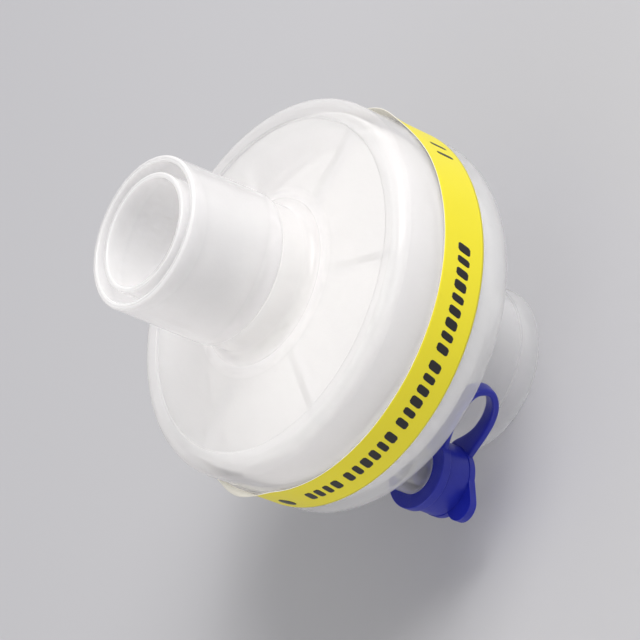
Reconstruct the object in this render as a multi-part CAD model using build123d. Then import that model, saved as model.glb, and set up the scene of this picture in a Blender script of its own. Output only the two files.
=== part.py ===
"""Breathing circuit filter: two moulded shells welded round a filter pad, with a capped sampling port.

Millimetres. The filter stands on the mouth of its machine port: the origin is the centre of that
mouth, +Z is the common axis of both ports, and +X points at the sampling port.
"""

from build123d import *
import os

# Conical connectors, all turned about their own axis
CONE_TAPER = 1 / 40            # loss of diameter for each millimetre of a breathing connector
LUER_TAPER = 6 / 100           # the same for the sampling port
PATIENT_CONE_TIP_R = 10.95     # 22 mm male cone, at its tip
PATIENT_CONE_LENGTH = 15.25
PATIENT_CONE_WALL = 0.9
PATIENT_BORE_MOUTH_R = 7.75    # 15 mm female cone inside it, at its mouth
PATIENT_BORE_LENGTH = 16.0
PATIENT_BORE_WALL = 0.75
MACHINE_BORE_MOUTH_R = 11.19   # 22 mm female cone, at its mouth
MACHINE_BORE_LENGTH = 18.0
MACHINE_TUBE_R = 12.3
MACHINE_TUBE_LENGTH = 19.3     # mouth to rear plate
MACHINE_COLLAR_R = 12.75
MACHINE_COLLAR_LENGTH = 3.6
STOP_LEDGE = 1.4               # how far the stop at the end of each socket stands inwards

# Housing shells
SHELL_R = 28.0                 # the welded band under the label
SHELL_WALL = 1.6
FRONT_WALL_STEP = 0.28         # the front wall is this much smaller than the welded band
REAR_SHELL_HEIGHT = 10.7       # rear plate to weld line
FRONT_SHELL_HEIGHT = 10.6      # weld line to the edge of the face
FACE_RISE = 1.1                # the face is a very flat cone
NECK_STEP = 0.44               # the neck is this much smaller than the base of its cone
NECK_LENGTH = 5.55
NECK_FILLET = 1.65
WEB_THICKNESS = 1.6            # floor of the gap between the coaxial cones
REAR_CORNER_R = 4.4
SHOULDER_R = 1.9
BEAD_WIDTH = 3.32              # raised ring round the face, out to the wall
BEAD_HEIGHT = 0.45
EDGE_R = 0.3

# Ribs inside: the lid's ribs stiffen it and show through it, the rear ribs hold the pad off the plate
RIB_START = 12.0               # degrees from +X
RIB_NECK_GAP = 0.8             # ribs start this far outside the neck
LID_RIB_COUNT = 6
LID_RIB_WIDTH = 1.1
LID_RIB_DEPTH = 1.8
PAD_RIB_COUNT = 12
PAD_RIB_WIDTH = 1.0

# Weld joint: a tongue on the rear shell stands in a groove of the front shell
TONGUE_WIDTH = 0.5
TONGUE_HEIGHT = 1.1
TONGUE_GAP = 0.06
GROOVE_RELIEF = 0.2

# Filter pad, nipped between one ring in each shell
PAD_THICKNESS = 3.0
PAD_GAP = 0.2                  # pad edge to shell wall
CLAMP_RING_INSET = 1.4         # shell wall to ring
CLAMP_RING_WIDTH = 1.2

# Label, a plain band of tape over the weld
LABEL_WIDTH = 7.17
LABEL_THICKNESS = 0.12
LABEL_ABOVE_WELD = 3.58        # the tape's front edge overhangs the welded band
LABEL_GLUE = 0.02
BAND_OVERHANG = 0.4

# Sampling port on the rear plate, beside the machine port
LUER_INSET = 6.2               # shell's outside to the port's axis
LUER_BOSS_R = 3.6
LUER_BOSS_HEIGHT = 3.6
LUER_NECK_R = 3.0
LUER_NECK_LENGTH = 5.2
LUER_LUG_R = 3.9
LUER_LUG_HEIGHT = 1.5
LUER_LUG_WIDTH = 3.2
LUER_BORE_MOUTH_R = 2.15
LUER_BORE_LENGTH = 8.0
LUER_PASSAGE_R = 0.9

# Tethered cap of the sampling port
RING_R = 5.65
RING_THICKNESS = 1.5
RING_RUNNING_GAP = 0.1
CAP_R = 5.2
CAP_SKIRT_GAP = 0.25           # skirt to lugs
CAP_END_GAP = 0.3              # luer tip to the inside of the end plate
CAP_RING_GAP = 0.2             # skirt to tether ring
CAP_PLATE_THICKNESS = 1.2
CAP_PLATE_OVERHANG = 0.1
CAP_PLUG_GAP = 0.07
CAP_PLUG_LENGTH = 4.2
CAP_PLUG_WALL = 0.7
TAB_REACH = 7.8                # luer axis to the tip of the tab
TAB_TIP_R = 2.3
TAB_ROOT_R = 3.0
TAB_ANGLE = 24.0               # degrees from +X
TAB_ROOT_ANGLE = 75.0          # the tab's strap side runs straight on from the strap
TAB_ROOT_OFFSET = 1.9
STRAP_WIDTH = 2.5
STRAP_THICKNESS = 1.1
STRAP_REACH = 15.2             # luer axis to the outside of the bend
STRAP_ANGLE = 121.0            # degrees from +X

# Heights that follow from the lengths above
REAR_PLATE_Z = MACHINE_TUBE_LENGTH
WELD_Z = REAR_PLATE_Z + REAR_SHELL_HEIGHT
FACE_EDGE_Z = WELD_Z + FRONT_SHELL_HEIGHT
FACE_NECK_Z = FACE_EDGE_Z + FACE_RISE
CONE_BASE_Z = FACE_NECK_Z + NECK_LENGTH
TIP_Z = CONE_BASE_Z + PATIENT_CONE_LENGTH
PAD_BOTTOM_Z = WELD_Z - PAD_THICKNESS / 2
PAD_TOP_Z = WELD_Z + PAD_THICKNESS / 2
SHELL_INNER_R = SHELL_R - SHELL_WALL
CLAMP_RING_OUTER_R = SHELL_INNER_R - CLAMP_RING_INSET
CLAMP_RING_INNER_R = CLAMP_RING_OUTER_R - CLAMP_RING_WIDTH
TONGUE_MID_R = SHELL_R - SHELL_WALL / 2
BOSS_Z = REAR_PLATE_Z - LUER_BOSS_HEIGHT
LUER_TIP_Z = BOSS_Z - LUER_NECK_LENGTH
RING_TOP_Z = BOSS_Z - RING_RUNNING_GAP
RING_BOTTOM_Z = RING_TOP_Z - RING_THICKNESS
CAP_TOP_Z = RING_BOTTOM_Z - CAP_RING_GAP
PLATE_TOP_Z = LUER_TIP_Z - CAP_END_GAP
PLATE_BOTTOM_Z = PLATE_TOP_Z - CAP_PLATE_THICKNESS
FRONT_R = SHELL_R - FRONT_WALL_STEP
BEAD_INNER_R = FRONT_R - BEAD_WIDTH
PATIENT_CONE_BASE_R = PATIENT_CONE_TIP_R + PATIENT_CONE_LENGTH * CONE_TAPER / 2
NECK_R = PATIENT_CONE_BASE_R - NECK_STEP
RIB_INNER_R = NECK_R + RIB_NECK_GAP
LUER_X = SHELL_R - LUER_INSET


def profile(points, rounds=None):
    """Closed outline in the XZ plane from (radius, height) points; rounds gives corner radii by index."""
    face = make_face(Polyline(*points, close=True))
    for index, radius in (rounds or {}).items():
        corner = Vector(*points[index])
        vertex = face.vertices().sort_by_distance(corner)[0]
        face = fillet(vertex, radius)
    return Rot(X=90) * face


def turned(points, rounds=None):
    """Solid of revolution about Z of an outline of (radius, height) points."""
    return revolve(profile(points, rounds), Axis.Z)


def ring(inner_r, outer_r, bottom_z, top_z):
    """Plain ring about Z."""
    return Pos(0, 0, bottom_z) * extrude(Circle(outer_r) - Circle(inner_r), top_z - bottom_z)


def radial_plate(points, width):
    """Plate that stands on the XZ plane with an outline of (radius, height) points, half its width each side."""
    return extrude(profile(points), width / 2, both=True)


def at_luer(shape):
    """A shape made about Z, moved onto the sampling port's axis."""
    return Pos(LUER_X, 0, 0) * shape


def face_z(radius, drop=0.0):
    """Height of the lid's outer face at a radius, less a drop."""
    share = (radius - NECK_R) / (BEAD_INNER_R - NECK_R)
    return FACE_NECK_Z - FACE_RISE * share - drop


def front_shell_body():
    """Front moulding without its ribs: coaxial port, neck, lid and wall, turned as one profile."""
    bore_step_r = PATIENT_BORE_MOUTH_R - PATIENT_BORE_LENGTH * CONE_TAPER / 2
    gap_floor_z = CONE_BASE_Z - EDGE_R
    web_bottom_z = gap_floor_z - WEB_THICKNESS
    gap_inner_r = PATIENT_BORE_MOUTH_R + PATIENT_BORE_WALL
    gap_outer_r = PATIENT_CONE_TIP_R - PATIENT_CONE_WALL
    neck_bore_r = NECK_R - SHELL_WALL
    band_top_z = WELD_Z + LABEL_ABOVE_WELD - BAND_OVERHANG
    lid_under_r = FRONT_R - SHELL_WALL
    lid_under_z = FACE_EDGE_Z - SHELL_WALL
    bead_z = FACE_EDGE_Z + BEAD_HEIGHT
    groove_half = TONGUE_WIDTH / 2 + TONGUE_GAP
    groove_top_z = WELD_Z + TONGUE_HEIGHT + GROOVE_RELIEF
    points = [
        (gap_outer_r, TIP_Z),
        (PATIENT_CONE_TIP_R, TIP_Z),
        (PATIENT_CONE_BASE_R, CONE_BASE_Z),
        (NECK_R, CONE_BASE_Z),
        (NECK_R, FACE_NECK_Z),
        (BEAD_INNER_R, FACE_EDGE_Z),
        (BEAD_INNER_R, bead_z),
        (FRONT_R, bead_z),
        (FRONT_R, band_top_z),
        (SHELL_R, band_top_z),
        (SHELL_R, WELD_Z),
        (TONGUE_MID_R + groove_half, WELD_Z),
        (TONGUE_MID_R + groove_half, groove_top_z),
        (TONGUE_MID_R - groove_half, groove_top_z),
        (TONGUE_MID_R - groove_half, WELD_Z),
        (SHELL_INNER_R, WELD_Z),
        (lid_under_r, band_top_z),
        (lid_under_r, lid_under_z),
        (neck_bore_r, face_z(neck_bore_r, SHELL_WALL)),
        (neck_bore_r, web_bottom_z),
        (bore_step_r - STOP_LEDGE / 2, web_bottom_z),
        (bore_step_r - STOP_LEDGE / 2, TIP_Z - PATIENT_BORE_LENGTH),
        (bore_step_r, TIP_Z - PATIENT_BORE_LENGTH),
        (PATIENT_BORE_MOUTH_R, TIP_Z),
        (gap_inner_r, TIP_Z),
        (gap_inner_r, gap_floor_z),
        (gap_outer_r, gap_floor_z),
    ]
    rounds = {
        1: EDGE_R,
        2: EDGE_R,
        4: NECK_FILLET,
        6: EDGE_R / 2,
        7: SHOULDER_R,
        17: SHELL_WALL / 2,
    }
    return turned(points, rounds)


def front_housing():
    """Front moulding: patient port, lid and wall, with the ring that nips the pad and the lid's ribs."""
    lid_root = SHELL_WALL / 2
    rib_outer_r = CLAMP_RING_INNER_R + CLAMP_RING_WIDTH / 2
    rib_drop = SHELL_WALL + LID_RIB_DEPTH
    lid_rib = radial_plate(
        [
            (RIB_INNER_R, face_z(RIB_INNER_R, lid_root)),
            (rib_outer_r, face_z(rib_outer_r, lid_root)),
            (rib_outer_r, face_z(rib_outer_r, rib_drop)),
            (RIB_INNER_R, face_z(RIB_INNER_R, rib_drop)),
        ],
        LID_RIB_WIDTH,
    )
    clamp_root_z = face_z(CLAMP_RING_OUTER_R, lid_root)
    shapes = [ring(CLAMP_RING_INNER_R, CLAMP_RING_OUTER_R, PAD_TOP_Z, clamp_root_z)]
    for index in range(LID_RIB_COUNT):
        shapes.append(Rot(Z=RIB_START + index * 360 / LID_RIB_COUNT) * lid_rib)
    return front_shell_body() + shapes


def rear_shell_body():
    """Rear moulding without its ribs and sampling port, turned as one profile."""
    bore_end_r = MACHINE_BORE_MOUTH_R - MACHINE_BORE_LENGTH * CONE_TAPER / 2
    plate_top_z = REAR_PLATE_Z + SHELL_WALL
    tongue_in = TONGUE_MID_R - TONGUE_WIDTH / 2
    tongue_out = TONGUE_MID_R + TONGUE_WIDTH / 2
    points = [
        (MACHINE_BORE_MOUTH_R, 0),
        (MACHINE_COLLAR_R, 0),
        (MACHINE_COLLAR_R, MACHINE_COLLAR_LENGTH),
        (MACHINE_TUBE_R, MACHINE_COLLAR_LENGTH),
        (MACHINE_TUBE_R, REAR_PLATE_Z),
        (SHELL_R, REAR_PLATE_Z),
        (SHELL_R, WELD_Z),
        (tongue_out, WELD_Z),
        (tongue_out, WELD_Z + TONGUE_HEIGHT),
        (tongue_in, WELD_Z + TONGUE_HEIGHT),
        (tongue_in, WELD_Z),
        (SHELL_INNER_R, WELD_Z),
        (SHELL_INNER_R, plate_top_z),
        (bore_end_r - STOP_LEDGE, plate_top_z),
        (bore_end_r - STOP_LEDGE, MACHINE_BORE_LENGTH),
        (bore_end_r, MACHINE_BORE_LENGTH),
    ]
    rounds = {
        1: EDGE_R,
        2: EDGE_R / 2,
        4: NECK_FILLET,
        5: REAR_CORNER_R,
        12: REAR_CORNER_R - SHELL_WALL,
    }
    return turned(points, rounds)


def luer_port():
    """Sampling port on the rear plate: boss, neck and the two lugs that a syringe lock grips."""
    boss_top_z = REAR_PLATE_Z + SHELL_WALL * 0.75
    boss = Pos(0, 0, BOSS_Z) * extrude(Circle(LUER_BOSS_R), boss_top_z - BOSS_Z)
    neck = Pos(0, 0, LUER_TIP_Z) * extrude(Circle(LUER_NECK_R), BOSS_Z - LUER_TIP_Z)
    lug_face = Circle(LUER_LUG_R) & Rectangle(2 * LUER_LUG_R, LUER_LUG_WIDTH)
    lugs = Pos(0, 0, LUER_TIP_Z) * extrude(lug_face, LUER_LUG_HEIGHT)
    return at_luer(boss + neck + lugs)


def luer_bore():
    """The sampling port's tapered bore and the narrow passage on into the shell."""
    end_r = LUER_BORE_MOUTH_R - LUER_BORE_LENGTH * LUER_TAPER / 2
    bore_end_z = LUER_TIP_Z + LUER_BORE_LENGTH
    return at_luer(
        turned(
            [
                (0, LUER_TIP_Z),
                (LUER_BORE_MOUTH_R, LUER_TIP_Z),
                (end_r, bore_end_z),
                (LUER_PASSAGE_R, bore_end_z),
                (LUER_PASSAGE_R, REAR_PLATE_Z + 2 * SHELL_WALL),
                (0, REAR_PLATE_Z + 2 * SHELL_WALL),
            ]
        )
    )


def rear_housing():
    """Rear moulding: machine port, plate, wall with the weld tongue, pad ribs and sampling port."""
    plate_root_z = REAR_PLATE_Z + SHELL_WALL / 2
    clamp = ring(CLAMP_RING_INNER_R, CLAMP_RING_OUTER_R, plate_root_z, PAD_BOTTOM_Z)
    pad_rib = radial_plate(
        [
            (RIB_INNER_R, plate_root_z),
            (CLAMP_RING_INNER_R + CLAMP_RING_WIDTH / 2, plate_root_z),
            (CLAMP_RING_INNER_R + CLAMP_RING_WIDTH / 2, PAD_BOTTOM_Z),
            (RIB_INNER_R, PAD_BOTTOM_Z),
        ],
        PAD_RIB_WIDTH,
    )
    shapes = [clamp, luer_port()]
    for index in range(PAD_RIB_COUNT):
        turn = Rot(Z=RIB_START + index * 360 / PAD_RIB_COUNT)
        shapes.append(turn * pad_rib)
    return rear_shell_body() + shapes - luer_bore()


def filter_media():
    """Round pad of charged fibre between the two clamp rings."""
    return Pos(0, 0, PAD_BOTTOM_Z) * extrude(Circle(SHELL_INNER_R - PAD_GAP), PAD_THICKNESS)


def label_band():
    """Band of tape round the weld, its front edge standing free of the wall by the step."""
    inner_r = SHELL_R + LABEL_GLUE
    top_z = WELD_Z + LABEL_ABOVE_WELD
    return ring(inner_r, inner_r + LABEL_THICKNESS, top_z - LABEL_WIDTH, top_z)


def tether_ring():
    """Flat ring that turns on the sampling port's neck, held by the lugs."""
    return at_luer(ring(LUER_NECK_R + RING_RUNNING_GAP, RING_R, RING_BOTTOM_Z, RING_TOP_Z))


def tether_strap():
    """Strap from the cap's end plate out, round one bend and back to the tether ring."""
    lower_z = (PLATE_TOP_Z + PLATE_BOTTOM_Z) / 2
    upper_z = (RING_TOP_Z + RING_BOTTOM_Z) / 2
    half = STRAP_THICKNESS / 2
    bend_r = (upper_z - lower_z) / 2
    mid_z = (upper_z + lower_z) / 2
    straight_end = STRAP_REACH - bend_r - half
    plate_r = CAP_R + CAP_PLATE_OVERHANG
    outer = [
        Line((plate_r, lower_z - half), (straight_end, lower_z - half)),
        ThreePointArc(
            (straight_end, lower_z - half),
            (straight_end + bend_r + half, mid_z),
            (straight_end, upper_z + half),
        ),
        Line((straight_end, upper_z + half), (RING_R, upper_z + half)),
        Line((RING_R, upper_z + half), (RING_R, upper_z - half)),
        Line((RING_R, upper_z - half), (straight_end, upper_z - half)),
        ThreePointArc(
            (straight_end, upper_z - half),
            (straight_end + bend_r - half, mid_z),
            (straight_end, lower_z + half),
        ),
        Line((straight_end, lower_z + half), (plate_r, lower_z + half)),
        Line((plate_r, lower_z + half), (plate_r, lower_z - half)),
    ]
    band = extrude(Rot(X=90) * make_face(outer), STRAP_WIDTH / 2, both=True)
    return at_luer(Rot(Z=STRAP_ANGLE) * band)


def luer_cap():
    """Push-on cap: skirt over the lugs, hollow plug in the bore, end plate with a finger tab."""
    skirt_inner_r = LUER_LUG_R + CAP_SKIRT_GAP
    plate_r = CAP_R + CAP_PLATE_OVERHANG
    plug_root_r = LUER_BORE_MOUTH_R - CAP_PLUG_GAP
    plug_tip_r = plug_root_r - CAP_PLUG_LENGTH * LUER_TAPER / 2
    plug_top_z = PLATE_TOP_Z + CAP_PLUG_LENGTH
    body = turned(
        [
            (0, PLATE_BOTTOM_Z),
            (plate_r, PLATE_BOTTOM_Z),
            (plate_r, PLATE_TOP_Z),
            (CAP_R, PLATE_TOP_Z),
            (CAP_R, CAP_TOP_Z),
            (skirt_inner_r, CAP_TOP_Z),
            (skirt_inner_r, PLATE_TOP_Z),
            (plug_root_r, PLATE_TOP_Z),
            (plug_tip_r, plug_top_z),
            (plug_tip_r - CAP_PLUG_WALL, plug_top_z),
            (plug_tip_r - CAP_PLUG_WALL, PLATE_TOP_Z),
            (0, PLATE_TOP_Z),
        ],
        {1: EDGE_R, 4: EDGE_R},
    )
    tip = Rot(Z=TAB_ANGLE) * Pos(TAB_REACH - TAB_TIP_R, 0) * Circle(TAB_TIP_R)
    root = Rot(Z=TAB_ROOT_ANGLE) * Pos(TAB_ROOT_OFFSET, 0) * Circle(TAB_ROOT_R)
    tab_face = make_hull(tip.edges() + root.edges())
    tab = Pos(0, 0, PLATE_BOTTOM_Z) * extrude(tab_face, CAP_PLATE_THICKNESS)
    return at_luer(body + tab)


PARTS = {
    "front_housing": front_housing,
    "rear_housing": rear_housing,
    "filter_media": filter_media,
    "label_band": label_band,
    "tether_ring": tether_ring,
    "tether_strap": tether_strap,
    "luer_cap": luer_cap,
}

os.makedirs("parts", exist_ok=True)
for name, make in PARTS.items():
    shape = make()
    shape.label = name
    export_step(shape, f"parts/{name}.step")
    size = shape.bounding_box().size
    print(f"{name}: {shape.volume:.1f} mm3, {size.X:.2f} x {size.Y:.2f} x {size.Z:.2f} mm")
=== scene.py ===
# %% [markdown]
# # Breathing circuit filter
# A filter like this sits between a breathing tube and its machine. Two plastic shells are welded
# together round a pad of white fibre, a band of yellow tape covers the weld, and a blue cap on a
# strap closes the small sampling port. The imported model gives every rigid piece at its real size,
# in metres. This script dresses it: it smooths the mouldings, builds the tape, its print and the
# strap as surfaces, and gives each piece its finish.

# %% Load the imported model
import math

import bmesh
import bpy
import numpy as np
from mathutils import Matrix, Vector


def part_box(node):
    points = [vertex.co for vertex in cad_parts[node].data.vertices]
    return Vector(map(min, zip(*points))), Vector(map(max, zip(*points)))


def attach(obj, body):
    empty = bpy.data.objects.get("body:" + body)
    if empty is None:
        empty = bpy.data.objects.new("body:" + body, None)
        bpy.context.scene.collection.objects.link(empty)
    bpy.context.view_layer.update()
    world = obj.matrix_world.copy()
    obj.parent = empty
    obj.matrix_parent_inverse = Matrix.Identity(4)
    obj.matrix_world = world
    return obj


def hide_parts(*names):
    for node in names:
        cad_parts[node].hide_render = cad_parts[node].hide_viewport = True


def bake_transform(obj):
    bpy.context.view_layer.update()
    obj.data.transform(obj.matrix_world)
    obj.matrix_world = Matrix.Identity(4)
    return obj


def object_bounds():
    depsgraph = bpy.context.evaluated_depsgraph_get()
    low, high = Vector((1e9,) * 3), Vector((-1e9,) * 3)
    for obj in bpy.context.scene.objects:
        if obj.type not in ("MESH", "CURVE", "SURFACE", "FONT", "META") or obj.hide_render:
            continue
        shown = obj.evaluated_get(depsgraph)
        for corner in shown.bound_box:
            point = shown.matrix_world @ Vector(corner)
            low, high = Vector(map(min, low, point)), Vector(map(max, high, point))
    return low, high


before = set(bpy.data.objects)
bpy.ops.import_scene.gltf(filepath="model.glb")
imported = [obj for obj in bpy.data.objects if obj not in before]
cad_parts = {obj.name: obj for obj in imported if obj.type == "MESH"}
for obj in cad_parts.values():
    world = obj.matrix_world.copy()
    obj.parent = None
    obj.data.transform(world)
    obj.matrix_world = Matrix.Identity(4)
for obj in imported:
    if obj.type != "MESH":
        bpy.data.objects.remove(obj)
cad_low, cad_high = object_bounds()

MM = 0.001
label_low, label_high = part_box("label_band")
print("model box in mm:", [round(1000 * v, 2) for v in (*cad_low, *cad_high)])

# %% [markdown]
# ## The camera and the studio
# The photograph looks at the patient port from above and to one side, and the filter leans over in
# its frame. Here the filter stands on its machine port instead, so the camera carries the lean: it
# looks along the same line and is rolled about its own axis. It stands about 36 centimetres away,
# near enough that the port in front is drawn about a tenth larger in scale than the one behind.

# %% Camera
CAMERA_AIM = (2.702, 0.135, 31.341)      # millimetres, a point inside the shells
CAMERA_DISTANCE = 363.236
CAMERA_AZIMUTH = 47.767                  # degrees from +X towards +Y
CAMERA_ELEVATION = 35.773
CAMERA_ROLL = -67.775
CAMERA_LENS = 146.25
CAMERA_SENSOR = 36.0                     # width in millimetres
CAMERA_CLIP = 0.01                       # metres


def direction(azimuth, elevation):
    """Unit vector with this azimuth from +X and this elevation over the floor, both in degrees."""
    a = math.radians(azimuth)
    e = math.radians(elevation)
    return np.array([math.cos(a) * math.cos(e), math.sin(a) * math.cos(e), math.sin(e)])


def aimed(obj, place, target, roll=0.0):
    """Puts a camera or lamp at a place in metres, looks at the target and rolls it about its own axis."""
    back = np.asarray(place) - np.asarray(target)
    back = back / np.linalg.norm(back)
    right = np.cross((0.0, 0.0, 1.0), back)
    right = right / np.linalg.norm(right)
    up = np.cross(back, right)
    angle = math.radians(roll)
    turned_right = math.cos(angle) * right + math.sin(angle) * up
    turned_up = math.cos(angle) * up - math.sin(angle) * right
    matrix = np.eye(4)
    matrix[:3, 0] = turned_right
    matrix[:3, 1] = turned_up
    matrix[:3, 2] = back
    matrix[:3, 3] = place
    obj.matrix_world = Matrix(matrix.tolist())
    return obj


aim = MM * np.array(CAMERA_AIM)
camera_data = bpy.data.cameras.new("camera")
camera_data.lens = CAMERA_LENS
camera_data.sensor_width = CAMERA_SENSOR
camera_data.clip_start = CAMERA_CLIP
camera = bpy.data.objects.new("camera", camera_data)
bpy.context.collection.objects.link(camera)
aimed(camera, aim + MM * CAMERA_DISTANCE * direction(CAMERA_AZIMUTH, CAMERA_ELEVATION), aim, CAMERA_ROLL)
bpy.context.scene.camera = camera
print("camera at mm:", [round(1000 * v, 1) for v in camera.location])

# %% Lamps and world
KEY_AZIMUTH = 118.0
KEY_ELEVATION = 40.0
KEY_SIZE = 0.5                           # metres
KEY_POWER = 5.7                          # watts
KEY_COLOUR = (1.0, 0.98, 0.95)
FILL_AZIMUTH = -22.0
FILL_ELEVATION = 18.0
FILL_SIZE = 0.5
FILL_POWER = 1.4
FILL_COLOUR = (1.0, 0.94, 0.86)
GLINT_AZIMUTH = 112.0
GLINT_ELEVATION = 46.0
GLINT_SIZE = (0.16, 0.1)
GLINT_POWER = 0.7
GLINT_COLOUR = (1.0, 1.0, 1.0)
LAMP_DISTANCE = 0.9                      # metres
WORLD_STRENGTH = 0.52
WORLD_COLOUR = (0.98, 0.98, 1.0, 1.0)


def soft_lamp(name, azimuth, elevation, size, power, colour):
    """Square area lamp at a direction from the middle of the filter, facing it."""
    data = bpy.data.lights.new(name, "AREA")
    data.size = size
    data.energy = power
    data.color = colour
    lamp = bpy.data.objects.new(name, data)
    bpy.context.collection.objects.link(lamp)
    return aimed(lamp, aim + LAMP_DISTANCE * direction(azimuth, elevation), aim)


soft_lamp("key_lamp", KEY_AZIMUTH, KEY_ELEVATION, KEY_SIZE, KEY_POWER, KEY_COLOUR)
glint = soft_lamp("glint_lamp", GLINT_AZIMUTH, GLINT_ELEVATION, GLINT_SIZE[0], GLINT_POWER, GLINT_COLOUR)
glint.data.shape = "RECTANGLE"
glint.data.size_y = GLINT_SIZE[1]
soft_lamp("fill_lamp", FILL_AZIMUTH, FILL_ELEVATION, FILL_SIZE, FILL_POWER, FILL_COLOUR)
world = bpy.data.worlds.new("studio")
world.use_nodes = True
backdrop = world.node_tree.nodes["Background"]
backdrop.inputs["Color"].default_value = WORLD_COLOUR
backdrop.inputs["Strength"].default_value = WORLD_STRENGTH
bpy.context.scene.world = world
bpy.context.scene.view_settings.view_transform = "Standard"
print("lamp powers in watts:", KEY_POWER, GLINT_POWER, FILL_POWER)

# %% [markdown]
# ## Helpers for surfaces
# Each new piece is a grid of points. A grid has rows and columns, and either may close on itself,
# as the turns of a ring do. One function joins neighbouring points into four-sided faces, so a
# piece only has to say where its points lie, as a formula of two parameters.

# %% Grid to mesh


def grid_faces(rows, columns, closed_rows=False, closed_columns=False):
    """Quads between neighbours of a grid of rows by columns points, numbered row by row."""
    r = np.arange(rows if closed_rows else rows - 1)
    c = np.arange(columns if closed_columns else columns - 1)
    r, c = np.meshgrid(r, c, indexing="ij")
    down = (r + 1) % rows
    right = (c + 1) % columns
    quads = (r * columns + c, down * columns + c, down * columns + right, r * columns + right)
    return np.stack(quads, axis=-1).reshape(-1, 4)


def add_piece(name, points, faces, smooth=True):
    """Object at the origin with its place in its mesh; points are in metres."""
    mesh = bpy.data.meshes.new(name)
    mesh.from_pydata(np.asarray(points).reshape(-1, 3).tolist(), [], [list(map(int, f)) for f in faces])
    mesh.update()
    if smooth:
        mesh.shade_smooth()
    obj = bpy.data.objects.new(name, mesh)
    bpy.context.collection.objects.link(obj)
    print(name, "faces:", len(mesh.polygons))
    return obj


# %% [markdown]
# ## The front moulding
# The front shell carries two coaxial tubes, a neck, a very flat conical lid with a raised ring at
# its edge, and a wall down to the weld. It was turned as one profile in the model, and it is turned
# again here with more care: every corner of the profile gets an arc, because moulded plastic has no
# sharp edges and each small arc catches a line of light. The profile is an outline of radius and
# height, and the surface carries it round the axis. Under the lid stand six ribs and the ring that
# nips the pad; they show through the milky plastic. The corners also carry a painted glow, an
# attribute that thickens the see-through cover so they show whiter, and the ribs and ring take it in full.

# %% Sizes of the front moulding in millimetres
CREASE_ANGLE = 28.0                      # degrees, a turn sharper than this shows as a crease
TIP_Z = 1000 * float(cad_high[2])
CONE_BASE_Z = 47.25
FACE_NECK_Z = 41.7
FACE_EDGE_Z = 40.6
WELD_Z = 30.0
BAND_TOP_Z = 33.18
BEAD_TOP_Z = 41.05
CONE_TIP_R = 10.95
CONE_BASE_R = 11.14
CONE_INSIDE_R = 10.05
BORE_TUBE_R = 8.5
BORE_MOUTH_R = 7.75
BORE_END_R = 7.55
BORE_STOP_R = 6.85
BORE_END_Z = 46.5
NECK_R = 10.7
# The fine line on the lid where the neck's round ends is a real corner, painted brighter by its edge glow.
NECK_EDGE_R = 12.4                       # a fine line on the lid where the neck's round ends
BEAD_INNER_R = 24.4
WALL_R = 27.72
BAND_R = 28.0
WALL = 1.6
WEB_TOP_Z = 46.95
WEB_UNDER_Z = 45.35
FRONT_TURNS = 176                        # columns round the axis
ARC_ROWS = 6
SUPPORT = 0.07                           # millimetres, rows that keep a flat beside its arc flat
SUPPORT_MOST = 0.2                       # of a short side's length
GLOW_REACH = 0.7                         # millimetres, how far a corner's glow spreads
FINE_REACH = 0.3


def lid_z(radius, drop=0.0):
    """Height of the lid's outer face at a radius, less a drop: a straight line from neck to bead."""
    share = (np.asarray(radius) - NECK_R) / (BEAD_INNER_R - NECK_R)
    return FACE_NECK_Z - (FACE_NECK_Z - FACE_EDGE_Z) * share - drop


FRONT_OUTLINE = (                        # radius, height, corner radius, edge glow and its reach
    (CONE_INSIDE_R, TIP_Z, 0.16, 1.0, GLOW_REACH),
    (CONE_TIP_R, TIP_Z, 0.3, 1.0, GLOW_REACH),
    (CONE_BASE_R, CONE_BASE_Z, 0.2, 1.0, GLOW_REACH),
    (NECK_R, CONE_BASE_Z, 0.1, 0.0, GLOW_REACH),
    (NECK_R, FACE_NECK_Z, 1.5, 0.0, GLOW_REACH),
    (NECK_EDGE_R, lid_z(NECK_EDGE_R), 0.05, 0.9, FINE_REACH),
    (BEAD_INNER_R, FACE_EDGE_Z, 0.2, 0.0, GLOW_REACH),
    (BEAD_INNER_R, BEAD_TOP_Z, 0.22, 0.45, GLOW_REACH),
    (WALL_R, BEAD_TOP_Z, 1.9, 0.15, GLOW_REACH),
    (WALL_R, BAND_TOP_Z, 0.1, 0.0, GLOW_REACH),
    (BAND_R, BAND_TOP_Z, 0.1, 0.3, GLOW_REACH),
    (BAND_R, WELD_Z, 0.04, 0.0, GLOW_REACH),
    (BAND_R - WALL, WELD_Z, 0.04, 0.0, GLOW_REACH),
    (WALL_R - WALL, BAND_TOP_Z, 0.3, 0.0, GLOW_REACH),
    (WALL_R - WALL, FACE_EDGE_Z - WALL, 0.8, 0.0, GLOW_REACH),
    (NECK_R - WALL, lid_z(NECK_R - WALL, WALL), 0.3, 0.0, GLOW_REACH),
    (NECK_R - WALL, WEB_UNDER_Z, 0.3, 0.0, GLOW_REACH),
    (BORE_STOP_R, WEB_UNDER_Z, 0.1, 0.0, GLOW_REACH),
    (BORE_STOP_R, BORE_END_Z, 0.15, 0.3, GLOW_REACH),
    (BORE_END_R, BORE_END_Z, 0.1, 0.0, GLOW_REACH),
    (BORE_MOUTH_R, TIP_Z, 0.18, 1.0, GLOW_REACH),
    (BORE_TUBE_R, TIP_Z, 0.16, 1.0, GLOW_REACH),
    (BORE_TUBE_R, WEB_TOP_Z, 0.25, 0.0, GLOW_REACH),
    (CONE_INSIDE_R, WEB_TOP_Z, 0.25, 0.0, GLOW_REACH),
)

# %% Rounding an outline and turning it


def unit(vectors):
    """Each row brought to length one."""
    return vectors / np.linalg.norm(vectors, axis=-1, keepdims=True)


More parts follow.
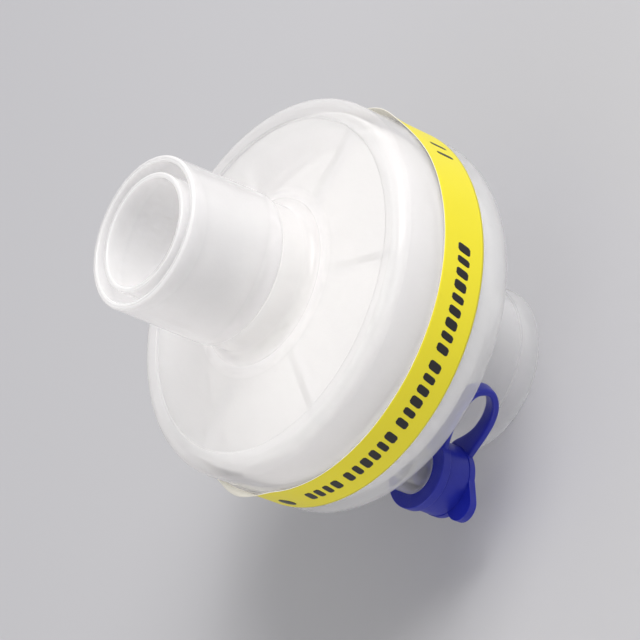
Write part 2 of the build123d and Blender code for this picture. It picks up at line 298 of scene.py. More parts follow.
def rounded_outline(outline):
    """Closed outline with an arc at each corner, and how strongly its edges glow there.

    At a corner with half angle h, an arc of radius r touches both sides r / tan(h) away from the
    corner and has its centre r / sin(h) away along the bisector. Between two arcs the straight side
    gets two support rows and two rows between. The glow, a painted brightness of the edges, is a bell
    curve of the distance to a corner.
    """
    data = np.array(outline)
    corner = data[:, :2]
    radius = data[:, 2:3]
    before = unit(np.roll(corner, 1, axis=0) - corner)
    after = unit(np.roll(corner, -1, axis=0) - corner)
    half = 0.5 * np.arccos(np.sum(before * after, axis=1, keepdims=True))
    centre = corner + unit(before + after) * radius / np.sin(half)
    start = corner + before * radius / np.tan(half) - centre
    stop = corner + after * radius / np.tan(half) - centre
    sweep = (np.pi - 2 * half)[:, None, :]
    t = np.linspace(0.0, 1.0, ARC_ROWS)[None, :, None]
    arc = np.sin((1 - t) * sweep) * start[:, None, :] + np.sin(t * sweep) * stop[:, None, :]
    arc = centre[:, None, :] + arc / np.sin(sweep)
    here = arc[:, -1]
    there = np.roll(arc[:, 0], -1, axis=0)
    length = np.linalg.norm(there - here, axis=1)
    near = np.minimum(SUPPORT / length, SUPPORT_MOST)
    share = np.stack([near, np.full_like(near, 1 / 3), np.full_like(near, 2 / 3), 1 - near], axis=1)
    straight = here[:, None, :] + share[:, :, None] * (there - here)[:, None, :]
    rows = np.concatenate([arc, straight], axis=1).reshape(-1, 2)
    away = np.linalg.norm(rows[:, None, :] - corner[None, :, :], axis=-1)
    glow = np.max(data[None, :, 3] * np.exp(-((away / data[None, :, 4]) ** 2)), axis=1)
    return rows, glow


def turned(rows, columns):
    """Points of an outline carried round Z: x = r cos(a), y = r sin(a), z stays."""
    angle = np.linspace(0.0, 2 * np.pi, columns, endpoint=False)
    r = rows[:, 0:1]
    z = np.broadcast_to(rows[:, 1:2], (len(rows), columns))
    return MM * np.stack([r * np.cos(angle), r * np.sin(angle), z], axis=-1)


# %% Ribs under the lid and the ring that nips the pad
RIB_START = 12.0                         # degrees from +X
RIB_COUNT = 6
RIB_HALF_WIDTH = 0.55
RIB_DEPTH = 1.8
RIB_INNER_R = 11.5
RIB_OUTER_R = 24.4
RIB_ROOT = 0.1                           # how far a rib runs up into the lid
RIB_CORNER = 0.18
RIB_FLAT = 0.6                           # share of the half width that the lower face keeps
RIB_MIDDLE_R = 18.0
RIB_END = 0.15                           # from each end to the ring beside it
RIB_RINGS = 5
RIB_SIDES = 6
NIP_INNER_R = 23.8
NIP_OUTER_R = 25.0
NIP_Z = 31.5
NIP_ROOT_CORNER = 0.1
NIP_CORNER = 0.2


def rib_points(angle):
    """A rib as rings of six points round its section, at five radii.

    The section hangs from the lid's underside, and its two lower corners are cut back a little.
    """
    rings = (RIB_INNER_R, RIB_INNER_R + RIB_END, RIB_MIDDLE_R, RIB_OUTER_R - RIB_END, RIB_OUTER_R)
    r = np.array(rings)[:, None]
    side = RIB_HALF_WIDTH * np.array([-1.0, -1.0, -RIB_FLAT, RIB_FLAT, 1.0, 1.0])[None, :]
    one_side = [-RIB_ROOT, RIB_DEPTH - RIB_CORNER, RIB_DEPTH]
    drop = np.array(one_side + one_side[::-1])[None, :]
    z = lid_z(r, WALL) - drop
    turn = math.radians(angle)
    x = r * math.cos(turn) - side * math.sin(turn)
    y = r * math.sin(turn) + side * math.cos(turn)
    return MM * np.stack([np.broadcast_to(x, z.shape), np.broadcast_to(y, z.shape), z], axis=-1)


def make_front():
    """The turned shell, the turned nip ring and the ribs as one mesh, with the glow as an attribute."""
    rows, glow = rounded_outline(FRONT_OUTLINE)
    shell = turned(rows, FRONT_TURNS)
    lid_root = float(lid_z(NIP_OUTER_R, WALL / 2))
    nip = (
        (NIP_INNER_R, lid_root, NIP_ROOT_CORNER, 0.0, GLOW_REACH),
        (NIP_OUTER_R, lid_root, NIP_ROOT_CORNER, 0.0, GLOW_REACH),
        (NIP_OUTER_R, NIP_Z, NIP_CORNER, 0.0, GLOW_REACH),
        (NIP_INNER_R, NIP_Z, NIP_CORNER, 0.0, GLOW_REACH),
    )
    nip_rows = rounded_outline(nip)[0]
    parts = [shell, turned(nip_rows, FRONT_TURNS)]
    faces = [
        grid_faces(len(rows), FRONT_TURNS, closed_rows=True, closed_columns=True),
        grid_faces(len(nip_rows), FRONT_TURNS, closed_rows=True, closed_columns=True),
    ]
    for index in range(RIB_COUNT):
        parts.append(rib_points(RIB_START + 360.0 * index / RIB_COUNT))
        faces.append(grid_faces(RIB_RINGS, RIB_SIDES, closed_columns=True))
    counts = np.cumsum([0] + [part.shape[0] * part.shape[1] for part in parts])
    polygons = [face for block, first in zip(faces, counts) for face in (block + first).tolist()]
    last_ring = (RIB_RINGS - 1) * RIB_SIDES
    for first in counts[2:-1].tolist():
        polygons.append([first + k for k in range(RIB_SIDES)])
        polygons.append([first + last_ring + k for k in reversed(range(RIB_SIDES))])
    obj = add_piece("front_moulding", np.concatenate([part.reshape(-1, 3) for part in parts]), polygons)
    obj.data.set_sharp_from_angle(angle=math.radians(CREASE_ANGLE))
    # Painted glow: each outline row takes its corner's glow, and the nip ring and ribs take it in full, so
    # they show whiter.
    edge = np.zeros(len(obj.data.vertices), dtype=np.float32)
    edge[: counts[1]] = np.repeat(glow, FRONT_TURNS)
    edge[counts[2]:] = 1.0
    obj.data.attributes.new("painted_edge_glow", "FLOAT", "POINT").data.foreach_set("value", edge)
    return obj


front = make_front()
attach(front, "housing")
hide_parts("front_housing")

# %% [markdown]
# ## The rear moulding and the blue parts
# The rear shell, the swivel ring and the cap come from the model with the right form, but their
# meshes are loose triangles, and light would show each one as a facet. A copy whose doubled points
# are merged can be shaded smoothly, with creases only where two faces meet at a real corner. The
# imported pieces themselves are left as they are. On the small blue parts a narrow bevel also breaks
# the corners, because soft polyethylene never leaves its mould with a sharp edge.

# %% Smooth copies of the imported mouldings
MERGE_DISTANCE = 1e-6                    # metres
FLAT_ANGLE = 0.5                         # degrees, triangles this nearly level become one face
CORNER_SEGMENTS = 3
LARGE_FACE_WEIGHT = 90                   # how far the larger faces decide the shading
BLUE_CORNER = 0.16 * MM


def smooth_copy(node, name, body, corner=0.0):
    """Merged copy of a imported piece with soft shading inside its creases; it stands for the node."""
    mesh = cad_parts[node].data.copy()
    mesh.name = name
    mesh.materials.clear()
    work = bmesh.new()
    work.from_mesh(mesh)
    bmesh.ops.remove_doubles(work, verts=work.verts, dist=MERGE_DISTANCE)
    if corner:
        flat = math.radians(FLAT_ANGLE)
        bmesh.ops.dissolve_limit(work, angle_limit=flat, verts=work.verts, edges=work.edges)
    work.to_mesh(mesh)
    work.free()
    mesh.shade_smooth()
    mesh.set_sharp_from_angle(angle=math.radians(CREASE_ANGLE))
    obj = bpy.data.objects.new(name, mesh)
    bpy.context.collection.objects.link(obj)
    if corner:
        bevel = obj.modifiers.new("soft_corner", "BEVEL")
        bevel.width = corner
        bevel.segments = CORNER_SEGMENTS
        bevel.limit_method = "ANGLE"
        bevel.angle_limit = math.radians(CREASE_ANGLE)
        bevel.harden_normals = True
    else:
        weighted = obj.modifiers.new("level_faces", "WEIGHTED_NORMAL")
        weighted.keep_sharp = True
        weighted.weight = LARGE_FACE_WEIGHT
    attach(obj, body)
    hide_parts(node)
    print(name, "faces:", len(mesh.polygons))
    return obj


rear = smooth_copy("rear_housing", "rear_moulding", "housing")
swivel = smooth_copy("tether_ring", "swivel_ring", "tether", BLUE_CORNER)
cap = smooth_copy("luer_cap", "port_cap", "cap", BLUE_CORNER)

# %% [markdown]
# ## The tape label
# A band of thin vinyl tape is wound once round the weld, and its end laps over its start on the
# far side. It grips the welded band, but the shell steps in before the tape's front edge, so that
# edge stands free and buckles outwards in two places, where its pale back shows. The band is a
# grid: the angle runs round the filter and the other parameter runs across the tape. The grid is
# the tape's outer skin, and Solidify gives it a back and edges with a finish of their own.

# %% Tape
TAPE_THICKNESS = 0.12 * MM
TAPE_RADIUS = float(label_high[1] - label_low[1]) / 2
TAPE_LOW = float(label_low[2])
TAPE_HIGH = float(label_high[2])
TAPE_FREE_WIDTH = 2.2 * MM               # the strip along the front edge that can move
TAPE_START = 205.0                       # degrees from +X, on the far side
TAPE_LAP = 8.0                           # degrees
LAP_RISE_FROM = 358.0                    # degrees past the start where the end begins to rise
LAP_RISE_OVER = 3.0
LAP_LIFT = 1.15 * TAPE_THICKNESS
TAPE_STEPS = 720
TAPE_ROWS = 22
BUCKLES = (                              # middle and half width in degrees, height in millimetres
    (-37.5, 9.5, 0.9),
    (139.0, 8.0, 0.65),
    (-22.0, 5.0, -0.16),
    (121.0, 9.0, -0.12),
)
EDGE_WAVES = (                           # height in millimetres, waves to a turn, shift in radians
    (0.02, 7, 0.6),
    (0.012, 17, 2.0),
)
RIPPLE_HEIGHT = 0.006
RIPPLE_WAVES = 31


def tape_radius(angles, heights):
    """Radius of the tape's skin in metres.

    It is the tape's own radius, less or more a buckle that grows with the square of the way across
    the free strip. Each buckle is a bell curve of the angle, and two slow waves keep the rest of
    the edge from lying dead level. A faint ripple, strongest half way across, runs all round.
    """
    degrees = np.degrees(angles)
    free = np.clip((heights - TAPE_HIGH + TAPE_FREE_WIDTH) / TAPE_FREE_WIDTH, 0.0, 1.0)
    swell = sum(height * np.sin(waves * angles + shift) for height, waves, shift in EDGE_WAVES)
    for middle, half, height in BUCKLES:
        away = (degrees - middle + 180.0) % 360.0 - 180.0
        swell = swell + height * np.exp(-((away / half) ** 2))
    across = (heights - TAPE_LOW) / (TAPE_HIGH - TAPE_LOW)
    ripple = RIPPLE_HEIGHT * np.sin(RIPPLE_WAVES * angles) * np.sin(np.pi * across)
    return TAPE_RADIUS + MM * (swell * free ** 2 + ripple)


def round_tape(angles, heights, lift=0.0):
    """Points on the tape's skin, or lifted off it: the radius above, carried round Z."""
    radius = tape_radius(angles, heights) + lift
    return np.stack([radius * np.cos(angles), radius * np.sin(angles), heights], axis=-1)


def make_tape():
    """The skin as an open strip whose last stretch rises over its own start, just clear of it."""
    turn = np.linspace(TAPE_START, TAPE_START + 360.0 + TAPE_LAP, TAPE_STEPS)
    height = np.linspace(TAPE_LOW, TAPE_HIGH, TAPE_ROWS)
    degrees, heights = np.meshgrid(turn, height, indexing="ij")
    rise = np.clip((degrees - TAPE_START - LAP_RISE_FROM) / LAP_RISE_OVER, 0.0, 1.0)
    points = round_tape(np.radians(degrees), heights, lift=LAP_LIFT * rise)
    obj = add_piece("tape_label", points, grid_faces(TAPE_STEPS, TAPE_ROWS))
    thickness = obj.modifiers.new("thickness", "SOLIDIFY")
    thickness.thickness = TAPE_THICKNESS
    thickness.offset = -1.0
    thickness.material_offset = 1
    thickness.material_offset_rim = 1
    return obj


tape = make_tape()
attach(tape, "housing")
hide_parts("label_band")

# %% [markdown]
# ## The print on the tape
# Dark marks run along the tape: slanted bars in four groups, a bare disc at one end of them, and a
# pair of thin upright bars at the other. An image would need its own mapping round the band, so
# each mark is a small grid instead, pressed onto the tape by the same radius function. It follows
# every buckle, and a film thickness keeps it just proud of the tape.

# %% Print
PRINT_LIFT = 0.02 * MM
PRINT_THICKNESS = 0.02 * MM
PRINT_MIDDLE = (TAPE_LOW + TAPE_HIGH) / 2
PRINT_HALF_HEIGHT = 1.12 * MM
PRINT_START = 79.5                       # degrees
PRINT_PITCH = 1.76 * MM
PRINT_SLANT = 0.22                       # sideways run for each unit of height
PRINT_GROUPS = (9, 6, 6, 4)
PRINT_WIDTHS = (1.28, 1.0, 1.14)         # millimetres, taken in turn
GROUP_GAP = 0.45                         # of the pitch
BAR_POWER = 5.0                          # roundness: a high power is nearly square, 2 is a disc
DISC_POWER = 2.0
DISC_ANGLE = -25.5
DISC_DROP = 0.8 * MM
DISC_RADIUS = 1.3 * MM
UPRIGHT_ANGLES = (117.5, 112.5)
UPRIGHT_DROP = 0.4 * MM
UPRIGHT_HALF_WIDTH = 0.34 * MM
UPRIGHT_HALF_HEIGHT = 1.5 * MM
BAR_GRID = 9
BAR_END = 0.985                          # the last row stops short of the tip, where the width is nil


def bar_points(middle, height_middle, half_width, half_height, slant, power):
    """A rounded bar laid on the tape.

    Across the bar the half width shrinks as (1 - |v|^power)^(1/power) from its middle to its ends,
    which rounds its corners, and the bar leans by the slant times its height.
    """
    v = np.linspace(-BAR_END, BAR_END, BAR_GRID)
    u = np.linspace(-1.0, 1.0, BAR_GRID)
    v, u = np.meshgrid(v, u, indexing="ij")
    width = half_width * (1.0 - np.abs(v) ** power) ** (1.0 / power)
    along = u * width + slant * v * half_height
    angles = math.radians(middle) + along / TAPE_RADIUS
    return round_tape(angles, height_middle + v * half_height, lift=PRINT_LIFT)


def print_marks():
    """All bars and the disc, each as (angle, height, half width, half height, slant, power)."""
    marks = []
    step = math.degrees(PRINT_PITCH / TAPE_RADIUS)
    angle = PRINT_START
    for count in PRINT_GROUPS:
        for _ in range(count):
            half = MM * PRINT_WIDTHS[len(marks) % len(PRINT_WIDTHS)] / 2
            angle -= step / 2
            marks.append((angle, PRINT_MIDDLE, half, PRINT_HALF_HEIGHT, PRINT_SLANT, BAR_POWER))
            angle -= step / 2
        angle -= GROUP_GAP * step
    marks.append((DISC_ANGLE, PRINT_MIDDLE - DISC_DROP, DISC_RADIUS, DISC_RADIUS, 0.0, DISC_POWER))
    for place in UPRIGHT_ANGLES:
        height = PRINT_MIDDLE - UPRIGHT_DROP
        marks.append((place, height, UPRIGHT_HALF_WIDTH, UPRIGHT_HALF_HEIGHT, 0.0, BAR_POWER))
    return marks


def make_print():
    """Every mark's grid joined into one mesh of thin film."""
    marks = print_marks()
    patches = [bar_points(*mark) for mark in marks]
    faces = grid_faces(BAR_GRID, BAR_GRID)
    all_faces = np.concatenate([faces + k * BAR_GRID ** 2 for k in range(len(patches))])
    obj = add_piece("label_print", np.concatenate(patches), all_faces[:, ::-1])
    film = obj.modifiers.new("film", "SOLIDIFY")
    film.thickness = PRINT_THICKNESS
    film.offset = -1.0
    print("print marks:", len(marks))
    return obj


label_print = make_print()
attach(label_print, "housing")

# %% [markdown]
# ## The strap
# Cap, strap and swivel ring are one family of soft blue plastic. The strap leaves the cap's end
# plate, bows out, turns back on itself and runs in to the ring. A rounded section is carried along
# a smooth path in one upright plane, and it widens at both ends, as a moulded strap does at its
# roots. The cap can be pulled off while the ring stays; the strap's place is baked into its mesh.

# %% Strap
ring_low, ring_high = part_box("tether_ring")
LUER_X = float(ring_low[0] + ring_high[0]) / 2
STRAP_ANGLE = math.radians(121.0)
STRAP_HALF_WIDTH = 1.25 * MM
STRAP_HALF_THICKNESS = 0.55 * MM
STRAP_ROUTE = (                          # millimetres from the port's axis, and height
    (4.3, 9.6),
    (6.2, 9.45),
    (8.6, 9.3),
    (11.0, 9.5),
    (13.2, 10.45),
    (14.6, 12.35),
    (13.9, 14.5),
    (11.6, 15.35),
    (8.6, 15.2),
    (6.2, 14.9),
    (4.6, 14.85),
)
STRAP_STEPS = 97
STRAP_SIDES = 28
STRAP_POWER = 4.0                        # roundness of the section: 2 is an ellipse, more is squarer
CAP_FLARE_REACH = 0.13                   # of the route's length
CAP_FLARE_FAR = 1.7                      # added width, on the side away from the tab
CAP_FLARE_NEAR = 0.15
RING_FLARE_REACH = 0.1
RING_FLARE = 0.9                         # on both sides


def spline(points, steps):
    """Catmull-Rom curve through all the points.

    Between two points it is a cubic, and its slope at each is half the step between the neighbours
    of that point.
    """
    knots = np.asarray(points, dtype=float)
    ends = np.concatenate([[2 * knots[0] - knots[1]], knots, [2 * knots[-1] - knots[-2]]])
    t = np.linspace(0.0, len(knots) - 1.0, steps)
    i = np.minimum(t.astype(int), len(knots) - 2)
    f = (t - i)[:, None]
    p0, p1, p2, p3 = ends[i], ends[i + 1], ends[i + 2], ends[i + 3]
    cubic = 2 * p1 + (p2 - p0) * f + (2 * p0 - 5 * p1 + 4 * p2 - p3) * f ** 2
    return 0.5 * (cubic + (3 * p1 - p0 - 3 * p2 + p3) * f ** 3)


def strap_points():
    """The section, a superellipse, at every step of the route.

    Its sides are cos and sin of the angle, each raised to 2 / power with its sign kept. The half
    width grows by a bell curve at each end of the route, at the cap more on the side away from the
    tab, and the section stands square to the route's own direction.
    """
    route = MM * spline(STRAP_ROUTE, STRAP_STEPS)
    way = np.gradient(route, axis=0)
    way = way / np.linalg.norm(way, axis=1, keepdims=True)
    across = np.stack([-way[:, 1], way[:, 0]], axis=1)
    reach = np.linspace(0.0, 1.0, STRAP_STEPS)
    at_cap = np.exp(-((reach / CAP_FLARE_REACH) ** 2))
    at_ring = np.exp(-(((1 - reach) / RING_FLARE_REACH) ** 2))
    phi = np.linspace(0.0, 2 * np.pi, STRAP_SIDES, endpoint=False)
    side = np.sign(np.cos(phi)) * np.abs(np.cos(phi)) ** (2 / STRAP_POWER)
    rise = np.sign(np.sin(phi)) * np.abs(np.sin(phi)) ** (2 / STRAP_POWER)
    out = route[:, None, :] + STRAP_HALF_THICKNESS * rise[None, :, None] * across[:, None, :]
    far_side = 1 + CAP_FLARE_FAR * at_cap + RING_FLARE * at_ring
    near_side = 1 + CAP_FLARE_NEAR * at_cap + RING_FLARE * at_ring
    flare = np.where(side[None, :] > 0, far_side[:, None], near_side[:, None])
    wide = STRAP_HALF_WIDTH * side[None, :] * flare
    axis = np.array([math.cos(STRAP_ANGLE), math.sin(STRAP_ANGLE)])
    normal = np.array([-axis[1], axis[0]])
    x = LUER_X + out[..., 0] * axis[0] + wide * normal[0]
    y = out[..., 0] * axis[1] + wide * normal[1]
    return np.stack([x, y, out[..., 1]], axis=-1)


def make_strap():
    """The swept grid, closed round its section, with a cap face at each end."""
    points = strap_points()
    faces = grid_faces(STRAP_STEPS, STRAP_SIDES, closed_columns=True).tolist()
    last = (STRAP_STEPS - 1) * STRAP_SIDES
    faces.append(list(range(STRAP_SIDES)))
    faces.append([last + k for k in reversed(range(STRAP_SIDES))])
    obj = add_piece("cap_strap", points, faces)
    work = bmesh.new()
    work.from_mesh(obj.data)
    bmesh.ops.recalc_face_normals(work, faces=work.faces)
    work.to_mesh(obj.data)
    work.free()
    return obj


strap = make_strap()
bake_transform(strap)
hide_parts("tether_strap")

# %% [markdown]
# ## Finishes
# The finishes are node materials. Nothing on the filter is quite even: colour and gloss drift a
# little over every plastic, the tape and the print. That drift is shared, so it is a node group
# built once, and each material places it with its own scales.

# %% Shared moulded grain
MOTTLE_DETAIL = 3.0
GRAIN_DETAIL = 2.0


def group_socket(group, name, way, kind, value=None):
    """Adds one named socket to a node group."""
    socket = group.interface.new_socket(name=name, in_out=way, socket_type=kind)
    if value is not None:
        socket.default_value = value
    return socket


def make_grain_group():
    """Group with two sizes of noise: a broad mottle as a mask, and a fine height for bump."""
    group = bpy.data.node_groups.new("moulded_grain", "ShaderNodeTree")
    group_socket(group, "Mottle Scale", "INPUT", "NodeSocketFloat", 120.0)
    group_socket(group, "Grain Scale", "INPUT", "NodeSocketFloat", 2500.0)
    group_socket(group, "Mottle", "OUTPUT", "NodeSocketFloat")
    group_socket(group, "Height", "OUTPUT", "NodeSocketFloat")
    entry = group.nodes.new("NodeGroupInput")
    leave = group.nodes.new("NodeGroupOutput")
    place = group.nodes.new("ShaderNodeTexCoord")
    mottle = group.nodes.new("ShaderNodeTexNoise")
    mottle.inputs["Detail"].default_value = MOTTLE_DETAIL
    grain = group.nodes.new("ShaderNodeTexNoise")
    grain.inputs["Detail"].default_value = GRAIN_DETAIL
    group.links.new(place.outputs["Object"], mottle.inputs["Vector"])
    group.links.new(place.outputs["Object"], grain.inputs["Vector"])
    group.links.new(entry.outputs["Mottle Scale"], mottle.inputs["Scale"])
    group.links.new(entry.outputs["Grain Scale"], grain.inputs["Scale"])
    group.links.new(mottle.outputs["Fac"], leave.inputs["Mottle"])
    group.links.new(grain.outputs["Fac"], leave.inputs["Height"])
    return group


grain_group = make_grain_group()

# %% Colours and the moulded finish
RELIEF_DEPTH = 0.05 * MM
EVEN_SCATTER = {                         # light spreads about 2.5 mm inside the translucent plastics
    "Subsurface_Weight": 1.0,
    "Subsurface_Scale": 2.5 * MM,
    "Subsurface_Radius": (1.0, 1.0, 1.0),
}


def srgb(red, green, blue):
    """Linear colour of three display values from 0 to 255."""
    values = [v / 255.0 for v in (red, green, blue)]
    linear = [v / 12.92 if v <= 0.04045 else ((v + 0.055) / 1.055) ** 2.4 for v in values]
    return (*linear, 1.0)


def moulded_material(name, dark, light, rough, mottle_scale, grain_scale, bump, **shader_values):
    """Finish whose colour and gloss drift between two values with the mottle.

    The fine grain is its relief. Values that stay constant are set on the shader's own sockets.
    """
    material = bpy.data.materials.new(name)
    material.use_nodes = True
    tree = material.node_tree
    shader = tree.nodes["Principled BSDF"]
    grain = tree.nodes.new("ShaderNodeGroup")
    grain.node_tree = grain_group
    grain.inputs["Mottle Scale"].default_value = mottle_scale
    grain.inputs["Grain Scale"].default_value = grain_scale
    colour = tree.nodes.new("ShaderNodeMix")
    colour.data_type = "RGBA"
    colour.inputs["A"].default_value = dark
    colour.inputs["B"].default_value = light
    gloss = tree.nodes.new("ShaderNodeMapRange")
    gloss.inputs["To Min"].default_value = rough[0]
    gloss.inputs["To Max"].default_value = rough[1]
    relief = tree.nodes.new("ShaderNodeBump")
    relief.inputs["Strength"].default_value = bump
    relief.inputs["Distance"].default_value = RELIEF_DEPTH
    tree.links.new(grain.outputs["Mottle"], colour.inputs["Factor"])
    tree.links.new(grain.outputs["Mottle"], gloss.inputs["Value"])
    tree.links.new(grain.outputs["Height"], relief.inputs["Height"])
    tree.links.new(colour.outputs["Result"], shader.inputs["Base Color"])
    tree.links.new(gloss.outputs["Result"], shader.inputs["Roughness"])
    tree.links.new(relief.outputs["Normal"], shader.inputs["Normal"])
    for socket, value in shader_values.items():
        shader.inputs[socket.replace("_", " ")].default_value = value
    return material


# %% Materials
milky = moulded_material(
    "milky_polypropylene", srgb(238, 236, 237), srgb(247, 245, 245),
    rough=(0.07, 0.16), mottle_scale=60.0, grain_scale=1800.0, bump=0.3, IOR=1.49, **EVEN_SCATTER,
)
clear = moulded_material(
    "clear_styrene", srgb(246, 248, 252), srgb(254, 254, 255),
    rough=(0.05, 0.1), mottle_scale=60.0, grain_scale=1800.0, bump=0.2, IOR=1.59, **EVEN_SCATTER,
)
blue = moulded_material(
    "blue_polyethylene", srgb(20, 30, 150), srgb(28, 40, 168),
    rough=(0.3, 0.42), mottle_scale=300.0, grain_scale=4000.0, bump=0.5,
    Subsurface_Weight=0.25, Subsurface_Scale=0.8 * MM, Subsurface_Radius=(0.4, 0.5, 1.0),
)
fibre = moulded_material(
    "fibre_pad", srgb(240, 238, 234), srgb(253, 252, 250),
    rough=(0.9, 1.0), mottle_scale=900.0, grain_scale=9000.0, bump=1.0,
)
vinyl = moulded_material(
    "yellow_vinyl", srgb(240, 226, 30), srgb(248, 235, 42),
    rough=(0.34, 0.46), mottle_scale=90.0, grain_scale=1500.0, bump=0.4,
)
paper = moulded_material(
    "pale_tape_back", srgb(240, 236, 222), srgb(250, 247, 236),
    rough=(0.6, 0.75), mottle_scale=200.0, grain_scale=3000.0, bump=0.4,
)
ink = moulded_material(
    "dark_ink", srgb(16, 14, 16), srgb(26, 24, 26),
    rough=(0.3, 0.42), mottle_scale=200.0, grain_scale=3000.0, bump=0.2,
)
print("materials:", [made.name for made in (milky, clear, blue, fibre, vinyl, paper, ink)])

# %% [markdown]
# ## Translucent plastics
# Both shells are thin plastic that lets light through, so the ribs and the pad show faintly, and
# rims look bright because light travels along the wall and leaves at its edge. Refraction with
# scattering inside would follow the real plastic more closely. Here the alpha does the work, as a
# cover that is easy to steer: thin where a wall faces the viewer, denser where it turns away, and
# full at the rims, where the whiter cover is a painted glow in place of that light. The mask round a
# rim serves several rims, so it is a node group.

# %% Shared mask for an edge that pipes light


def operation_node(tree, kind, operation):
    """Math or vector math node set to one operation."""
    node = tree.nodes.new(kind)
    node.operation = operation
    return node


def make_rim_group():
    """Group with a mask round a circle: one on it, and down to nothing at the reach.

    The distance to the circle is the length of (distance to the axis - radius, height - level).
    """
    group = bpy.data.node_groups.new("bright_rim", "ShaderNodeTree")
    for name in ("Axis X", "Radius", "Level", "Reach"):
        group_socket(group, name, "INPUT", "NodeSocketFloat", MM)
    group_socket(group, "Mask", "OUTPUT", "NodeSocketFloat")
    entry = group.nodes.new("NodeGroupInput")
    leave = group.nodes.new("NodeGroupOutput")
    place = group.nodes.new("ShaderNodeTexCoord")
    split = group.nodes.new("ShaderNodeSeparateXYZ")
    beside = operation_node(group, "ShaderNodeMath", "SUBTRACT")
    flat = group.nodes.new("ShaderNodeCombineXYZ")
    out = operation_node(group, "ShaderNodeVectorMath", "LENGTH")
    off = operation_node(group, "ShaderNodeMath", "SUBTRACT")
    above = operation_node(group, "ShaderNodeMath", "SUBTRACT")
    pair = group.nodes.new("ShaderNodeCombineXYZ")
    away = operation_node(group, "ShaderNodeVectorMath", "LENGTH")
    fade = group.nodes.new("ShaderNodeMapRange")
    fade.interpolation_type = "SMOOTHSTEP"
    fade.inputs["To Min"].default_value = 1.0
    fade.inputs["To Max"].default_value = 0.0
    link = group.links.new
    link(place.outputs["Object"], split.inputs["Vector"])
    link(split.outputs["X"], beside.inputs[0])
    link(entry.outputs["Axis X"], beside.inputs[1])
    link(beside.outputs["Value"], flat.inputs["X"])
    link(split.outputs["Y"], flat.inputs["Y"])
    link(flat.outputs["Vector"], out.inputs[0])
    link(out.outputs["Value"], off.inputs[0])
    link(entry.outputs["Radius"], off.inputs[1])
    link(split.outputs["Z"], above.inputs[0])
    link(entry.outputs["Level"], above.inputs[1])
    link(off.outputs["Value"], pair.inputs["X"])
    link(above.outputs["Value"], pair.inputs["Y"])
    link(pair.outputs["Vector"], away.inputs[0])
    link(away.outputs["Value"], fade.inputs["Value"])
    link(entry.outputs["Reach"], fade.inputs["From Max"])
    link(fade.outputs["Result"], leave.inputs["Mask"])
    return group


rim_group = make_rim_group()

# %% Cover of the translucent plastics
FACING_BLEND = 0.35                      # how soon a wall counts as turned away
FROST_RISE = 1.0 * MM                    # height over which the frost comes in
# Circles where the clear plastic takes full cover: a painted bright rim at the boss and at the machine
# port's mouth.
BOSS_RIM = (LUER_X, 3.6 * MM, 15.7 * MM, 0.45 * MM)
MOUTH_RIM = (0.0, 12.75 * MM, 0.0, 0.5 * MM)
CLEAR_FROST = (19.3 * MM, 0.45)


def larger(tree, first, second):
    """Output with the larger of two values."""
    node = operation_node(tree, "ShaderNodeMath", "MAXIMUM")
    tree.links.new(first, node.inputs[0])
    tree.links.new(second, node.inputs[1])
    return node.outputs["Value"]


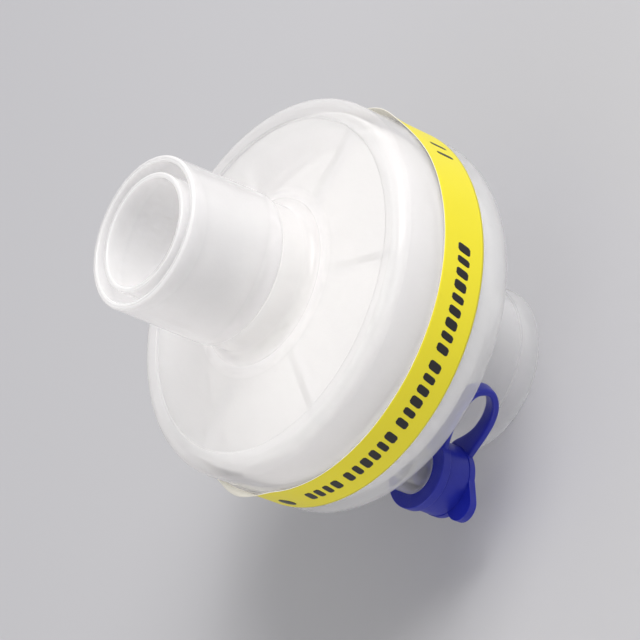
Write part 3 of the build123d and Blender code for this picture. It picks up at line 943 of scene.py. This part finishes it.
def see_through(material, face_on, edge_on, passing, rims=(), frost=None):
    """Makes a plastic translucent through its alpha.

    The cover rises from face_on to edge_on as the wall turns away, and further where the painted
    edge glow lies. Each rim is (axis x, radius, level, reach) of a circle with full cover, a painted
    glow. Frost is (height, cover): above that height a wall has at least that much. Scattering
    plastic passes most of its light on, so the rays that carry light inwards, the shadow and diffuse
    rays, meet only the passing share of the cover.
    """
    tree = material.node_tree
    turn = tree.nodes.new("ShaderNodeLayerWeight")
    turn.inputs["Blend"].default_value = FACING_BLEND
    cover = tree.nodes.new("ShaderNodeMapRange")
    cover.inputs["To Min"].default_value = face_on
    cover.inputs["To Max"].default_value = edge_on
    tree.links.new(turn.outputs["Facing"], cover.inputs["Value"])
    # The painted edge glow raises the cover, so those edges show whiter.
    edge = tree.nodes.new("ShaderNodeAttribute")
    edge.attribute_name = "painted_edge_glow"
    full = larger(tree, cover.outputs["Result"], edge.outputs["Fac"])
    for axis_x, radius, level, reach in rims:
        rim = tree.nodes.new("ShaderNodeGroup")
        rim.node_tree = rim_group
        rim.inputs["Axis X"].default_value = axis_x
        rim.inputs["Radius"].default_value = radius
        rim.inputs["Level"].default_value = level
        rim.inputs["Reach"].default_value = reach
        full = larger(tree, full, rim.outputs["Mask"])
    if frost:
        height, least = frost
        place = tree.nodes.new("ShaderNodeTexCoord")
        split = tree.nodes.new("ShaderNodeSeparateXYZ")
        haze = tree.nodes.new("ShaderNodeMapRange")
        haze.inputs["From Min"].default_value = height
        haze.inputs["From Max"].default_value = height + FROST_RISE
        haze.inputs["To Max"].default_value = least
        tree.links.new(place.outputs["Object"], split.inputs["Vector"])
        tree.links.new(split.outputs["Z"], haze.inputs["Value"])
        full = larger(tree, full, haze.outputs["Result"])
    path = tree.nodes.new("ShaderNodeLightPath")
    thin = tree.nodes.new("ShaderNodeMapRange")
    thin.inputs["To Min"].default_value = 1.0
    thin.inputs["To Max"].default_value = passing
    share = operation_node(tree, "ShaderNodeMath", "MULTIPLY")
    inward = larger(tree, path.outputs["Is Shadow Ray"], path.outputs["Is Diffuse Ray"])
    tree.links.new(inward, thin.inputs["Value"])
    tree.links.new(full, share.inputs[0])
    tree.links.new(thin.outputs["Result"], share.inputs[1])
    tree.links.new(share.outputs["Value"], tree.nodes["Principled BSDF"].inputs["Alpha"])


see_through(milky, face_on=0.33, edge_on=0.85, passing=0.1)
see_through(clear, face_on=0.08, edge_on=0.55, passing=0.15, rims=(BOSS_RIM, MOUTH_RIM), frost=CLEAR_FROST)
print("nodes in the clear plastic:", len(clear.node_tree.nodes))

# %% A finish for each piece


def dress(obj, material):
    """Gives a piece one material in its first slot."""
    obj.data.materials.clear()
    obj.data.materials.append(material)


dress(front, milky)
dress(rear, clear)
dress(tape, vinyl)
tape.data.materials.append(paper)
dress(label_print, ink)
dress(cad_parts["filter_media"], fibre)
for piece in (swivel, cap, strap):
    dress(piece, blue)

# %% [markdown]
# ## The floor
# A matt grey sheet lies under the filter and takes its shadow, as a studio's paper roll would. It
# is one large square, wide enough that its edge stays outside the camera's frame. It is staged: it
# is seen, but it is no part of the filter.

# %% Floor
FLOOR_HALF = 3.0                         # metres
FLOOR_COLOUR = srgb(200, 200, 204)
FLOOR_ROUGHNESS = 0.9
floor_signs = np.array([(-1.0, -1.0, 0.0), (1.0, -1.0, 0.0), (1.0, 1.0, 0.0), (-1.0, 1.0, 0.0)])
floor = add_piece("floor", FLOOR_HALF * floor_signs, [(0, 1, 2, 3)], smooth=False)
floor_material = bpy.data.materials.new("grey_backdrop")
floor_material.use_nodes = True
floor_shader = floor_material.node_tree.nodes["Principled BSDF"]
floor_shader.inputs["Base Color"].default_value = FLOOR_COLOUR
floor_shader.inputs["Roughness"].default_value = FLOOR_ROUGHNESS
dress(floor, floor_material)
